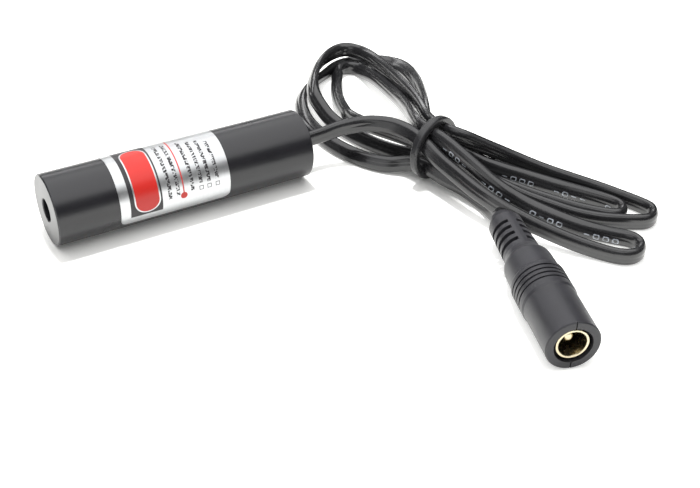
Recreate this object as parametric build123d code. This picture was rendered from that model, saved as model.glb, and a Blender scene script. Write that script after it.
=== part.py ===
from build123d import *
import math
import os

# Laser diode module: a turned barrel with its optics and driver inside, a flat two-core lead
# wound into a tied hank, and an in-line low-voltage socket moulded on the lead's end.
# Millimetres. The beam axis lies along X, the front faces -X and the table is Z = 0.
# Stations inside the barrel are distances behind the front face.

# Barrel
BARREL_D = 16.0
BARREL_LENGTH = 61.0
BARREL_EDGE = 0.25
FRONT_WALL = 1.6
APERTURE_D = 5.2
APERTURE_EDGE = 0.2
BARREL_WALL = 1.2
FRONT_BORE_WALL = 2.8
FRONT_BORE_END = 12.0
FIT = 0.05

# Line lens and its holder, behind the front wall
HOLDER_LENGTH = 5.0
HOLDER_STEP = 1.0
HOLDER_WALL = 1.1
HOLDER_LIP = 0.8
LINE_LENS_THICKNESS = 3.0
LINE_LENS_CURVE = 8.0

# Diode holder and what it carries
DIODE_HOLDER_WALL = 2.2
CELL_BORE_DEPTH = 11.0
DIODE_WEB = 2.5
DIODE_CAP_GAP = 0.4
CLAMP_BORE_STEP = 0.05
CLAMP_BORE_DEPTH = 3.0
CLAMP_RING_LENGTH = 2.2
CLAMP_RING_HOLE_SHARE = 0.52
SPANNER_SLOT_WIDTH = 1.1
SPANNER_SLOT_DEPTH = 0.8

# Collimating lens in its threaded cell
CELL_SETBACK = 1.6
CELL_LENGTH = 7.0
CELL_WALL = 1.25
CELL_LIP = 0.5
LENS_THICKNESS = 2.0
LENS_CURVE = 6.8
LENS_SEAT_DEPTH = 3.6
SPRING_WIRE = 0.5
SPRING_TURNS = 2.5

# Laser diode
DIODE_FLANGE_D = 5.6
DIODE_FLANGE_THICKNESS = 1.2
DIODE_CAP_D = 3.55
DIODE_CAP_LENGTH = 2.3
DIODE_WINDOW_D = 1.6
DIODE_WINDOW_THICKNESS = 0.25
DIODE_LEAD_D = 0.45
DIODE_LEAD_LENGTH = 7.5
DIODE_LEAD_SPREAD = 0.9

# Driver board in its insulating sleeve; shares are parts of the board's free length
SLEEVE_WALL = 0.35
SLEEVE_GAP = 0.2
SLEEVE_BACK_GAP = 2.0
BOARD_SETBACK = 0.9
BOARD_BACK_GAP = 3.4
BOARD_THICKNESS = 1.0
TOP_SHARES = {"driver_ic": 0.30, "power_inductor": 0.30, "input_capacitor": 0.24}
UNDER_SHARES = {"current_trimmer": 0.19, "chip_resistors": 0.10, "protection_diode": 0.34}
IC_WIDTH = 4.0
IC_HEIGHT = 1.5
IC_LEG_REACH = 1.0
IC_LEGS_A_SIDE = 4
IC_LEG_SHARE = 0.33
INDUCTOR_HEIGHT = 2.8
INDUCTOR_CORNER_SHARE = 0.22
CAPACITOR_HEADROOM = 1.4
CAPACITOR_BASE = 1.0
TRIMMER_HEIGHT = 1.4
TRIMMER_ROTOR_SHARE = 0.75
TRIMMER_ROTOR_HEIGHT = 0.3
DIODE_BLOCK_SHARE = 0.78
DIODE_BLOCK_WIDTH = 2.6
DIODE_BLOCK_HEIGHT = 1.9
RESISTOR_WIDTH = 0.8
RESISTOR_HEIGHT = 0.5
RESISTOR_PITCH = 2.0
RESISTOR_COUNT = 4

# Rear cap, cable bush and the lead's stripped end
CAP_LENGTH = 5.0
BUSH_D = 7.0
BUSH_FLANGE_D = 9.2
BUSH_FLANGE = 1.0
CORE_D = 1.2
CORE_ON_BOARD = 1.9
JACKET_INSIDE = 0.6

# Foil label, wrapped round the top of the barrel
LABEL_START = 13.8
LABEL_WIDTH = 25.8
LABEL_FOIL = 0.08
LABEL_FROM_ANGLE = 30.0
LABEL_TO_ANGLE = 214.0
LABEL_CORNER = 1.8

# Lead: a flat two-core cord, its section's long side upright
CORD_WIDTH = 4.0
CORD_THICKNESS = 2.0

# Hank: the tied waist between an open loop behind and a narrow loop in front
WAIST_CENTRE = (57.6, -17.0, 8.0)
WAIST_HEADING = -73.0
WAIST_LENGTH = 12.0
WAIST_D = 12.6
TIE_WIDTH = 2.1
TIE_THICKNESS = 1.5
TIE_EDGE = 0.6
LEAD_SLOT = (-3.2, 3.0)
TAIL_SLOT = (-2.9, -3.3)
LOOP_FLOOR_HEIGHT = 4.2
REAR_LOOP = [(51.5, -13.5), (43.0, -6.0), (40.6, 12.0), (43.0, 27.5), (54.5, 42.5), (66.0, 51.2),
             (75.6, 50.4), (77.4, 40.0), (81.2, 28.0), (78.3, 17.5), (69.5, 3.0), (63.0, -12.0)]
REAR_LOOP_BEND = 5.0
REAR_LOOP_HEIGHT = 8.0
REAR_LOOP_FALL = 4.0
REAR_LOOP_RISE = 4.5
REAR_WINDOW = [(55.4, -5.0), (53.0, 2.0), (54.2, 14.0), (58.6, 25.5), (64.6, 34.5), (69.0, 33.5),
               (67.6, 22.0), (62.3, 6.5)]
REAR_WINDOW_BEND = 1.8
REAR_RIDGE = [(57.0, -12.0), (59.2, -3.0), (62.4, 10.0), (67.0, 24.0), (71.2, 36.0), (71.8, 46.0),
              (76.6, 45.0), (76.8, 38.0), (73.0, 25.0), (68.3, 10.0), (65.2, -3.0), (63.0, -12.0)]
REAR_RIDGE_BEND = 1.8
REAR_RIDGE_HEIGHT = 14.9
REAR_RIDGE_FALL = 7.4
FRONT_LOOP = [(61.0, -18.5), (59.8, -31.0), (59.6, -42.0), (63.0, -54.0), (71.5, -69.8), (79.5, -70.0),
              (91.0, -64.8), (93.8, -57.0), (91.8, -47.0), (81.5, -35.5), (73.5, -28.5), (66.5, -19.5)]
FRONT_LOOP_BEND = 2.5
FRONT_LOOP_HEIGHT = 14.6
FRONT_LOOP_FALL = 13.5

# Routes of the two free stretches; the ends come from the barrel, the waist and the socket
LEAD_ROUTE = [(36.2, 0.0, 8.0), (41.8, -0.5, 9.1), (47.2, -3.4, 10.6)]
TAIL_ROUTE = [(57.1, -34.6, 3.4)]
LEAD_LAST_RUN = 4.6
TAIL_FIRST_RUN = 4.2
TAIL_LAST_RUN = 6.0

# In-line socket on the lead's end; its stations are distances behind the mouth
SOCKET_MOUTH = (41.8, -88.3)
SOCKET_HEADING = -108.5
SOCKET_BODY_D = 11.2
SOCKET_BODY_LENGTH = 12.4
SOCKET_RIM_EDGE = 0.25
GRIP_BAND_D = 11.6
GRIP_BAND_START = 13.0
GRIP_BAND_END = 19.8
GRIP_GROOVE_START = 14.5
GRIP_GROOVE_PITCH = 1.3
GRIP_GROOVE_COUNT = 4
GRIP_GROOVE_WIDTH = 0.5
GRIP_GROOVE_DEPTH = 0.3
BACK_D = 10.9
BACK_START = 20.4
BACK_END_D = 10.5
BACK_END = 25.4
RELIEF_START = 29.2
RELIEF_D = 8.1
RELIEF_END = 41.0
RELIEF_END_D = 7.4
RELIEF_TIP = 43.5
RELIEF_TIP_D = 5.2
RELIEF_GAP_START = 30.4
RELIEF_GAP_PITCH = 2.25
RELIEF_GAP_WIDTH = 1.1
RELIEF_GAP_COUNT = 4
RELIEF_CORE_D = 5.4
RELIEF_SPINE = 1.8
RECESS_D = 7.9
RECESS_DEPTH = 2.2
SEAM_WIDTH = 0.3
SEAM_DEPTH = 0.35
SHELL_D = 6.8
SHELL_WALL = 0.55
SHELL_SETBACK = 0.5
SOCKET_BORE_DEPTH = 12.4
INSULATOR_LENGTH = 2.8
INSULATOR_FLANGE = 1.2
PIN_D = 2.0
PIN_SETBACK = 2.6
PIN_TIP = 0.5
LEAF_WIDTH = 1.8
LEAF_THICKNESS = 0.25
LEAF_REACH = 7.0
LEAF_PRESS = 0.9
LEAF_GAP = 0.15
LEAF_ANGLE = 122.0

BARREL_R = BARREL_D / 2
MAIN_BORE_D = BARREL_D - 2 * BARREL_WALL
FRONT_BORE_D = BARREL_D - 2 * FRONT_BORE_WALL
AXIS_Z = BARREL_R
FRONT_X = -BARREL_LENGTH / 2
REAR_X = BARREL_LENGTH / 2


def turned(*outline):
    """Solid of revolution about the beam axis from (station, radius) corners."""
    face = make_face(Polyline(*[(FRONT_X + s, r) for s, r in outline], close=True))
    return Pos(0, 0, AXIS_Z) * revolve(face, Axis.X)


def ring(start, end, outer_d, inner_d=0.0):
    """Plain tube, or a rod, between two stations on the beam axis."""
    return turned((start, inner_d / 2), (end, inner_d / 2), (end, outer_d / 2), (start, outer_d / 2))


def along(station, y=0.0, z=0.0):
    """Place on or beside the beam axis at a station."""
    return Pos(FRONT_X + station, y, AXIS_Z + z)


def cord_section(plane):
    """Section of the flat lead, long side upright, in a plane whose x axis is level."""
    return plane * SlotOverall(CORD_WIDTH, CORD_THICKNESS, rotation=90)


# Barrel

def make_barrel():
    aperture_r = APERTURE_D / 2
    front_r = FRONT_BORE_D / 2
    main_r = MAIN_BORE_D / 2
    return turned(
        (0, aperture_r + APERTURE_EDGE),
        (0, BARREL_R - BARREL_EDGE),
        (BARREL_EDGE, BARREL_R),
        (BARREL_LENGTH - BARREL_EDGE, BARREL_R),
        (BARREL_LENGTH, BARREL_R - BARREL_EDGE),
        (BARREL_LENGTH, main_r),
        (FRONT_BORE_END, main_r),
        (FRONT_BORE_END, front_r),
        (FRONT_WALL, front_r),
        (FRONT_WALL, aperture_r),
        (APERTURE_EDGE, aperture_r),
    )


def make_label():
    """Foil sheet on the barrel's skin, its four corners rounded."""
    strip = make_face(Polyline(
        (FRONT_X + LABEL_START, BARREL_R),
        (FRONT_X + LABEL_START + LABEL_WIDTH, BARREL_R),
        (FRONT_X + LABEL_START + LABEL_WIDTH, BARREL_R + LABEL_FOIL),
        (FRONT_X + LABEL_START, BARREL_R + LABEL_FOIL),
        close=True,
    ))
    sheet = Rot(LABEL_FROM_ANGLE, 0, 0) * revolve(
        strip, Axis.X, revolution_arc=LABEL_TO_ANGLE - LABEL_FROM_ANGLE)
    half = LABEL_WIDTH / 2
    notch = Pos(half - LABEL_CORNER / 2, LABEL_CORNER / 2) * Rectangle(LABEL_CORNER, LABEL_CORNER)
    notch -= Pos(half - LABEL_CORNER, LABEL_CORNER) * Circle(LABEL_CORNER)
    first_end = notch + mirror(notch, Plane.YZ)
    middle_x = FRONT_X + LABEL_START + half
    for angle, notches in [(LABEL_FROM_ANGLE, first_end), (LABEL_TO_ANGLE, mirror(first_end, Plane.XZ))]:
        skin = Rot(angle, 0, 0) * Pos(middle_x, BARREL_R, 0) * Rot(90, 0, 0)
        sheet -= skin * extrude(notches, LABEL_CORNER, both=True)
    return Pos(0, 0, AXIS_Z) * sheet


# Optics

HOLDER_END = FRONT_WALL + HOLDER_LENGTH
LINE_LENS_START = FRONT_WALL + HOLDER_STEP
LINE_LENS_D = FRONT_BORE_D - 2 * (FIT + HOLDER_WALL + FIT)
HOLDER_WINDOW_D = LINE_LENS_D - 2 * HOLDER_LIP


def make_line_lens_holder():
    outer_r = FRONT_BORE_D / 2 - FIT
    seat_r = LINE_LENS_D / 2 + FIT
    return turned(
        (FRONT_WALL, HOLDER_WINDOW_D / 2),
        (FRONT_WALL, outer_r),
        (HOLDER_END, outer_r),
        (HOLDER_END, seat_r),
        (LINE_LENS_START, seat_r),
        (LINE_LENS_START, HOLDER_WINDOW_D / 2),
    )


def make_line_lens():
    """Plano-cylindrical disc; the curved face looks out of the aperture."""
    disc = ring(LINE_LENS_START, LINE_LENS_START + LINE_LENS_THICKNESS, LINE_LENS_D)
    curve = along(LINE_LENS_START + LINE_LENS_CURVE) * Cylinder(LINE_LENS_CURVE, 2 * LINE_LENS_D)
    return disc & curve


CELL_START = FRONT_BORE_END + CELL_SETBACK
CELL_END = CELL_START + CELL_LENGTH
LENS_BACK = CELL_START + LENS_SEAT_DEPTH
WEB_START = FRONT_BORE_END + CELL_BORE_DEPTH
WEB_END = WEB_START + DIODE_WEB
HOLDER_BACK = WEB_END + CLAMP_BORE_DEPTH
FLANGE_FRONT = WEB_END - DIODE_FLANGE_THICKNESS
CELL_BORE_D = MAIN_BORE_D - 2 * (FIT + DIODE_HOLDER_WALL)
CLAMP_BORE_D = CELL_BORE_D + 2 * CLAMP_BORE_STEP
LENS_D = CELL_BORE_D - 2 * (FIT + CELL_WALL + FIT)
CELL_HOLE_D = LENS_D - 2 * CELL_LIP


def spanner_slots(face_station, into, outer_d):
    """Cutter for the two slots that a spanner turns a threaded ring by."""
    middle = face_station + into * SPANNER_SLOT_DEPTH / 2
    return along(middle) * Box(SPANNER_SLOT_DEPTH, 2 * outer_d, SPANNER_SLOT_WIDTH)


def make_lens_cell():
    outer_r = CELL_BORE_D / 2 - FIT
    seat_r = LENS_D / 2 + FIT
    cell = turned(
        (CELL_START, seat_r),
        (CELL_START, outer_r),
        (CELL_END, outer_r),
        (CELL_END, CELL_HOLE_D / 2),
        (LENS_BACK, CELL_HOLE_D / 2),
        (LENS_BACK, seat_r),
    )
    return cell - spanner_slots(CELL_START, 1, CELL_BORE_D)


def make_collimating_lens():
    """Plano-convex lens, flat side back on the cell's shoulder."""
    disc = ring(LENS_BACK - LENS_THICKNESS, LENS_BACK, LENS_D)
    return disc & along(LENS_BACK - LENS_THICKNESS + LENS_CURVE) * Sphere(LENS_CURVE)


def make_lens_spring():
    """Coil spring that loads the cell's thread, between the cell and the diode web."""
    coil_r = CELL_BORE_D / 2 - FIT - SPRING_WIRE / 2
    height = WEB_START - CELL_END - SPRING_WIRE
    start = (FRONT_X + CELL_END + SPRING_WIRE / 2, 0, AXIS_Z)
    coil = Helix(height / SPRING_TURNS, height, coil_r, center=start, direction=(1, 0, 0))
    return sweep(Plane(origin=coil @ 0, z_dir=coil % 0) * Circle(SPRING_WIRE / 2), path=coil)


def make_diode_holder():
    outer_r = MAIN_BORE_D / 2 - FIT
    return turned(
        (FRONT_BORE_END, CELL_BORE_D / 2),
        (FRONT_BORE_END, outer_r),
        (HOLDER_BACK, outer_r),
        (HOLDER_BACK, CLAMP_BORE_D / 2),
        (WEB_END, CLAMP_BORE_D / 2),
        (WEB_END, DIODE_FLANGE_D / 2 + FIT),
        (FLANGE_FRONT, DIODE_FLANGE_D / 2 + FIT),
        (FLANGE_FRONT, DIODE_CAP_D / 2 + DIODE_CAP_GAP),
        (WEB_START, DIODE_CAP_D / 2 + DIODE_CAP_GAP),
        (WEB_START, CELL_BORE_D / 2),
    )


def make_clamp_ring():
    hole_d = CLAMP_RING_HOLE_SHARE * CLAMP_BORE_D
    body = ring(WEB_END, WEB_END + CLAMP_RING_LENGTH, CLAMP_BORE_D - 2 * FIT, hole_d)
    return body - spanner_slots(WEB_END + CLAMP_RING_LENGTH, -1, CLAMP_BORE_D)


def make_laser_diode():
    """Sealed can: flange at the back, narrower cap in front with a recess for its window."""
    cap_front = FLANGE_FRONT - DIODE_CAP_LENGTH
    return turned(
        (WEB_END, 0),
        (WEB_END, DIODE_FLANGE_D / 2),
        (FLANGE_FRONT, DIODE_FLANGE_D / 2),
        (FLANGE_FRONT, DIODE_CAP_D / 2),
        (cap_front, DIODE_CAP_D / 2),
        (cap_front, DIODE_WINDOW_D / 2),
        (cap_front + DIODE_WINDOW_THICKNESS, DIODE_WINDOW_D / 2),
        (cap_front + DIODE_WINDOW_THICKNESS, 0),
    )


def make_diode_window():
    cap_front = FLANGE_FRONT - DIODE_CAP_LENGTH
    return ring(cap_front, cap_front + DIODE_WINDOW_THICKNESS, DIODE_WINDOW_D - FIT)


def make_diode_leads():
    """Three legs from the flange: two lie on the board's top face and one beneath it."""
    height = BOARD_THICKNESS / 2 + DIODE_LEAD_D / 2
    places = [(DIODE_LEAD_SPREAD, height), (-DIODE_LEAD_SPREAD, height), (0, -height)]
    legs = [
        along(WEB_END + DIODE_LEAD_LENGTH / 2, y, z)
        * Rot(0, 90, 0)
        * Cylinder(DIODE_LEAD_D / 2, DIODE_LEAD_LENGTH)
        for y, z in places
    ]
    return Compound(children=legs)


# Driver board

CAP_START = BARREL_LENGTH - CAP_LENGTH
BUSH_START = CAP_START - BUSH_FLANGE
SLEEVE_START = HOLDER_BACK + SLEEVE_GAP
SLEEVE_END = BUSH_START - SLEEVE_BACK_GAP
SLEEVE_OUTER_D = MAIN_BORE_D - 2 * FIT
SLEEVE_INNER_D = SLEEVE_OUTER_D - 2 * SLEEVE_WALL
BOARD_START = SLEEVE_START + BOARD_SETBACK
BOARD_END = BUSH_START - BOARD_BACK_GAP
BOARD_TOP = BOARD_THICKNESS / 2
BOARD_WIDTH = 2 * math.sqrt((SLEEVE_INNER_D / 2 - FIT) ** 2 - BOARD_TOP ** 2)
CORES_START = BOARD_END - CORE_ON_BOARD
LEADS_END = WEB_END + DIODE_LEAD_LENGTH
FREE_LENGTH = CORES_START - LEADS_END


def make_insulating_sleeve():
    return ring(SLEEVE_START, SLEEVE_END, SLEEVE_OUTER_D, SLEEVE_INNER_D)


def make_board():
    length = BOARD_END - BOARD_START
    return along(BOARD_START + length / 2) * Box(length, BOARD_WIDTH, BOARD_THICKNESS)


def laid_out(shares):
    """Middle station and length of each component in a row, with equal gaps between them."""
    gap = FREE_LENGTH * (1 - sum(shares.values())) / (len(shares) + 1)
    rows = {}
    station = LEADS_END
    for name, share in shares.items():
        length = share * FREE_LENGTH
        rows[name] = (station + gap + length / 2, length)
        station += gap + length
    return rows


PLACES = laid_out(TOP_SHARES) | laid_out(UNDER_SHARES)


def on_board(station, y, height, side=1):
    """Middle of a component of a given height on the board's top or bottom face."""
    return along(station, y, side * (BOARD_TOP + height / 2))


def make_driver_ic():
    station, length = PLACES["driver_ic"]
    chip = on_board(station, 0, IC_HEIGHT) * Box(length, IC_WIDTH, IC_HEIGHT)
    pitch = length / IC_LEGS_A_SIDE
    reach = IC_WIDTH + 2 * IC_LEG_REACH
    for i in range(IC_LEGS_A_SIDE):
        leg_station = station + (i - (IC_LEGS_A_SIDE - 1) / 2) * pitch
        chip += on_board(leg_station, 0, IC_HEIGHT / 2) * Box(IC_LEG_SHARE * pitch, reach, IC_HEIGHT / 2)
    return chip


def make_power_inductor():
    station, side = PLACES["power_inductor"]
    block = on_board(station, 0, INDUCTOR_HEIGHT) * Box(side, side, INDUCTOR_HEIGHT)
    return chamfer(block.edges().filter_by(Axis.Z), INDUCTOR_CORNER_SHARE * side)


def make_capacitor():
    station, diameter = PLACES["input_capacitor"]
    room = math.sqrt((SLEEVE_INNER_D ** 2 - diameter ** 2) / 4) - BOARD_TOP
    height = room - CAPACITOR_HEADROOM
    base = on_board(station, 0, CAPACITOR_BASE) * Box(diameter, diameter, CAPACITOR_BASE)
    can = on_board(station, 0, height) * Cylinder(diameter / 2, height)
    return base + can


def make_trimmer():
    station, side = PLACES["current_trimmer"]
    block = on_board(station, 0, TRIMMER_HEIGHT, -1) * Box(side, side, TRIMMER_HEIGHT)
    full_height = TRIMMER_HEIGHT + TRIMMER_ROTOR_HEIGHT
    rotor = on_board(station, 0, full_height, -1) * Cylinder(TRIMMER_ROTOR_SHARE * side / 2, full_height)
    return block + rotor


def make_protection_diode():
    station, length = PLACES["protection_diode"]
    block = on_board(station, 0, DIODE_BLOCK_HEIGHT, -1) * Box(
        DIODE_BLOCK_SHARE * length, DIODE_BLOCK_WIDTH, DIODE_BLOCK_HEIGHT)
    tab_height = DIODE_BLOCK_HEIGHT / 3
    tabs = on_board(station, 0, tab_height, -1) * Box(length, DIODE_BLOCK_WIDTH / 2, tab_height)
    return block + tabs


def make_resistors():
    station, length = PLACES["chip_resistors"]
    chips = []
    for i in range(RESISTOR_COUNT):
        y = (i - (RESISTOR_COUNT - 1) / 2) * RESISTOR_PITCH
        chips.append(on_board(station, y, RESISTOR_HEIGHT, -1) * Box(length, RESISTOR_WIDTH, RESISTOR_HEIGHT))
    return Compound(children=chips)


# Rear cap and the lead's end inside it

JACKET_START = BUSH_START - JACKET_INSIDE


def make_rear_cap():
    return ring(CAP_START, BARREL_LENGTH, MAIN_BORE_D - 2 * FIT, BUSH_D)


def make_cable_bush():
    bush = turned(
        (BUSH_START, 0),
        (BUSH_START, BUSH_FLANGE_D / 2),
        (CAP_START, BUSH_FLANGE_D / 2),
        (CAP_START, BUSH_D / 2 - FIT),
        (BARREL_LENGTH, BUSH_D / 2 - FIT),
        (BARREL_LENGTH, 0),
    )
    slot = Plane(origin=(FRONT_X + BUSH_START, 0, AXIS_Z), x_dir=(0, 1, 0), z_dir=(1, 0, 0)) * SlotOverall(
        CORD_WIDTH + FIT, CORD_THICKNESS + FIT, rotation=90)
    return bush - extrude(slot, CAP_LENGTH + BUSH_FLANGE)


def make_jacket_end():
    plane = Plane(origin=(FRONT_X + JACKET_START, 0, AXIS_Z), x_dir=(0, 1, 0), z_dir=(1, 0, 0))
    return extrude(cord_section(plane), BARREL_LENGTH - JACKET_START)


def make_core(side):
    """One insulated core, from the jacket's end to its pad on the board."""
    middle = (CORES_START + JACKET_START) / 2
    height = side * (BOARD_TOP + CORE_D / 2)
    return along(middle, 0, height) * Rot(0, 90, 0) * Cylinder(CORE_D / 2, JACKET_START - CORES_START)


# Hank, tie and the two free stretches of the lead

HEADING = Vector(math.cos(math.radians(WAIST_HEADING)), math.sin(math.radians(WAIST_HEADING)), 0)
ACROSS = Vector(-HEADING.Y, HEADING.X, 0)
WAIST = Vector(*WAIST_CENTRE)


def waist_plane(offset):
    """Plane across the waist, x level and y up, looking along its heading."""
    return Plane(origin=WAIST + HEADING * offset, x_dir=(-ACROSS.X, -ACROSS.Y, 0), z_dir=HEADING)


def slot_point(slot, offset):
    """Where a strand that runs in a slot of the waist crosses the plane at an offset."""
    across, up = slot
    return WAIST + HEADING * offset + ACROSS * across + Vector(0, 0, up)


def loop_block(outline, bend, height, tilt):
    """Loop of cord: one strand high on the table, and rising to a height at the waist's middle."""
    face = make_face(FilletPolyline(*outline, radius=bend, close=True))
    block = extrude(face, 2 * height, dir=(0, 0, 1))
    reach = 4 * WAIST.length
    above = Box(reach, reach, 2 * height, align=(Align.CENTER, Align.CENTER, Align.MIN))
    slope = block - Pos(WAIST.X, WAIST.Y, height) * tilt * above
    return slope + extrude(face, LOOP_FLOOR_HEIGHT, dir=(0, 0, 1))


def make_hank():
    """Outer shape of the tied hank: an open loop, the bundled waist and a closed loop."""
    waist = extrude(waist_plane(-WAIST_LENGTH / 2) * Circle(WAIST_D / 2), WAIST_LENGTH)
    rear = loop_block(REAR_LOOP, REAR_LOOP_BEND, REAR_LOOP_HEIGHT, Rot(-REAR_LOOP_FALL, -REAR_LOOP_RISE, 0))
    rear += loop_block(REAR_RIDGE, REAR_RIDGE_BEND, REAR_RIDGE_HEIGHT, Rot(-REAR_RIDGE_FALL, 0, 0))
    window = make_face(FilletPolyline(*REAR_WINDOW, radius=REAR_WINDOW_BEND, close=True))
    rear -= extrude(window, 2 * REAR_RIDGE_HEIGHT, dir=(0, 0, 1))
    front = loop_block(FRONT_LOOP, FRONT_LOOP_BEND, FRONT_LOOP_HEIGHT, Rot(FRONT_LOOP_FALL, 0, 0))
    return waist + rear + front


def make_tie():
    """Coated flat wire, closed into a ring round the waist."""
    section = Circle(WAIST_D / 2 + TIE_THICKNESS) - Circle(WAIST_D / 2)
    band = extrude(waist_plane(-TIE_WIDTH / 2) * section, TIE_WIDTH)
    rims = band.edges().filter_by(GeomType.CIRCLE).sort_by(SortBy.RADIUS)[-2:]
    return fillet(rims, TIE_EDGE)


def cord_tube(name, points):
    """Flat cord along straight runs joined by the largest tangent arcs they leave room for."""
    points = [Vector(*p) for p in points]
    radii = []
    for before, here, after in zip(points, points[1:], points[2:]):
        turn = math.radians((here - before).get_angle(after - here))
        shorter = min((here - before).length, (after - here).length)
        radii.append(0.45 * shorter / math.tan(turn / 2))
    print(name, "radii", [round(r, 1) for r in radii])
    path = FilletPolyline(*points, radius=radii)
    onward = points[1] - points[0]
    start = Plane(origin=points[0], x_dir=onward.cross(Vector(0, 0, 1)), z_dir=onward)
    tube = sweep(cord_section(start), path=path)
    section = (CORD_WIDTH - CORD_THICKNESS) * CORD_THICKNESS + math.pi * CORD_THICKNESS ** 2 / 4
    print(name, "length", round(path.length, 2), "volume over section times length",
          round(tube.volume / (section * path.length), 4))
    return tube


def make_cable_lead():
    exit_point = (REAR_X, 0, AXIS_Z)
    end = slot_point(LEAD_SLOT, -WAIST_LENGTH / 2)
    return cord_tube("lead", [exit_point, *LEAD_ROUTE, end - HEADING * LEAD_LAST_RUN, end])


# In-line socket

SOCKET_AXIS_Z = GRIP_BAND_D / 2
SOCKET_PLACE = Pos(SOCKET_MOUTH[0], SOCKET_MOUTH[1], SOCKET_AXIS_Z) * Rot(0, 0, SOCKET_HEADING)


def socket_turned(*outline):
    """Solid of revolution about the socket's axis from (station, radius) corners, mouth at 0."""
    return revolve(make_face(Polyline(*[(-s, r) for s, r in outline], close=True)), Axis.X)


def socket_ring(start, end, outer_d, inner_d=0.0):
    return socket_turned((start, inner_d / 2), (end, inner_d / 2), (end, outer_d / 2), (start, outer_d / 2))


def make_socket_housing():
    """One moulding: barrel of the socket, grooved grip band, shoulder and ribbed strain relief."""
    body_r = SOCKET_BODY_D / 2
    shell_r = SHELL_D / 2 + FIT
    head = Polyline(
        (-SOCKET_BORE_DEPTH, 0),
        (-SOCKET_BORE_DEPTH, shell_r),
        (-RECESS_DEPTH, shell_r),
        (-RECESS_DEPTH, RECESS_D / 2),
        (0, RECESS_D / 2),
        (0, body_r - SOCKET_RIM_EDGE),
        (-SOCKET_RIM_EDGE, body_r),
        (-SOCKET_BODY_LENGTH, body_r),
        (-GRIP_BAND_START, GRIP_BAND_D / 2),
        (-GRIP_BAND_END, GRIP_BAND_D / 2),
        (-BACK_START, BACK_D / 2),
        (-BACK_END, BACK_END_D / 2),
    )
    shoulder = TangentArc(
        (-BACK_END, BACK_END_D / 2),
        (-(BACK_END + RELIEF_START) / 2, (BACK_END_D + RELIEF_D) / 4),
        tangent=(-1, 0),
    )
    foot = Polyline(
        (-(BACK_END + RELIEF_START) / 2, (BACK_END_D + RELIEF_D) / 4),
        (-RELIEF_START, RELIEF_D / 2),
        (-RELIEF_END, RELIEF_END_D / 2),
        (-RELIEF_TIP, RELIEF_TIP_D / 2),
        (-RELIEF_TIP, 0),
        (-SOCKET_BORE_DEPTH, 0),
    )
    housing = revolve(make_face([head, shoulder, foot]), Axis.X)
    for i in range(GRIP_GROOVE_COUNT):
        start = GRIP_GROOVE_START + i * GRIP_GROOVE_PITCH
        groove_r = GRIP_BAND_D / 2 - GRIP_GROOVE_DEPTH
        housing -= socket_ring(start, start + GRIP_GROOVE_WIDTH, GRIP_BAND_D + 1, 2 * groove_r)
    spines = Pos(-RELIEF_END, 0, 0) * Box(2 * (RELIEF_END - RELIEF_START), RELIEF_SPINE, 2 * RELIEF_D)
    for i in range(RELIEF_GAP_COUNT):
        start = RELIEF_GAP_START + i * RELIEF_GAP_PITCH
        housing -= socket_ring(start, start + RELIEF_GAP_WIDTH, RELIEF_D + 1, RELIEF_CORE_D) - spines
    seam = Box(2 * SEAM_DEPTH, SEAM_WIDTH, SOCKET_BODY_D + 1)
    return housing - seam


def make_shell_contact():
    """Plated tube that the plug's sleeve slides into."""
    tube = socket_ring(SHELL_SETBACK, SOCKET_BORE_DEPTH - INSULATOR_FLANGE, SHELL_D, SHELL_D - 2 * SHELL_WALL)
    mouth = tube.edges().filter_by(GeomType.CIRCLE).group_by(Axis.X)[-1]
    return fillet(mouth, SHELL_WALL / 4)


def make_socket_insulator():
    flange_start = SOCKET_BORE_DEPTH - INSULATOR_FLANGE
    boss_r = SHELL_D / 2 - SHELL_WALL - FIT
    hole_r = PIN_D / 2 + FIT / 2
    return socket_turned(
        (flange_start - INSULATOR_LENGTH + INSULATOR_FLANGE, hole_r),
        (flange_start - INSULATOR_LENGTH + INSULATOR_FLANGE, boss_r),
        (flange_start, boss_r),
        (flange_start, SHELL_D / 2),
        (SOCKET_BORE_DEPTH, SHELL_D / 2),
        (SOCKET_BORE_DEPTH, hole_r),
    )


def make_centre_pin():
    pin = socket_ring(PIN_SETBACK, SOCKET_BORE_DEPTH, PIN_D)
    tip = pin.edges().group_by(Axis.X)[-1]
    return fillet(tip, PIN_TIP)


def make_leaf_contact():
    """Bent spring strip inside the plated tube, rooted on the insulator."""
    root = SOCKET_BORE_DEPTH - INSULATOR_LENGTH
    outer = SHELL_D / 2 - SHELL_WALL - LEAF_GAP - LEAF_WIDTH ** 2 / 8 / (SHELL_D / 2 - SHELL_WALL)
    knee = root - LEAF_REACH * 0.65
    tip = root - LEAF_REACH
    line = [(root, outer), (root - LEAF_REACH * 0.3, outer), (knee, outer - LEAF_PRESS), (tip, outer)]
    under = [(s, r - LEAF_THICKNESS) for s, r in reversed(line)]
    face = make_face(Polyline(*[(-s, r) for s, r in line + under], close=True))
    strip = extrude(face, LEAF_WIDTH / 2, both=True)
    return Rot(LEAF_ANGLE, 0, 0) * strip


def make_cable_tail():
    start = slot_point(TAIL_SLOT, WAIST_LENGTH / 2)
    socket_heading = Vector(math.cos(math.radians(SOCKET_HEADING)), math.sin(math.radians(SOCKET_HEADING)), 0)
    end = Vector(SOCKET_MOUTH[0], SOCKET_MOUTH[1], SOCKET_AXIS_Z) - socket_heading * RELIEF_TIP
    return cord_tube("tail", [start, start + HEADING * TAIL_FIRST_RUN, *TAIL_ROUTE,
                              end - socket_heading * TAIL_LAST_RUN, end])


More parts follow.
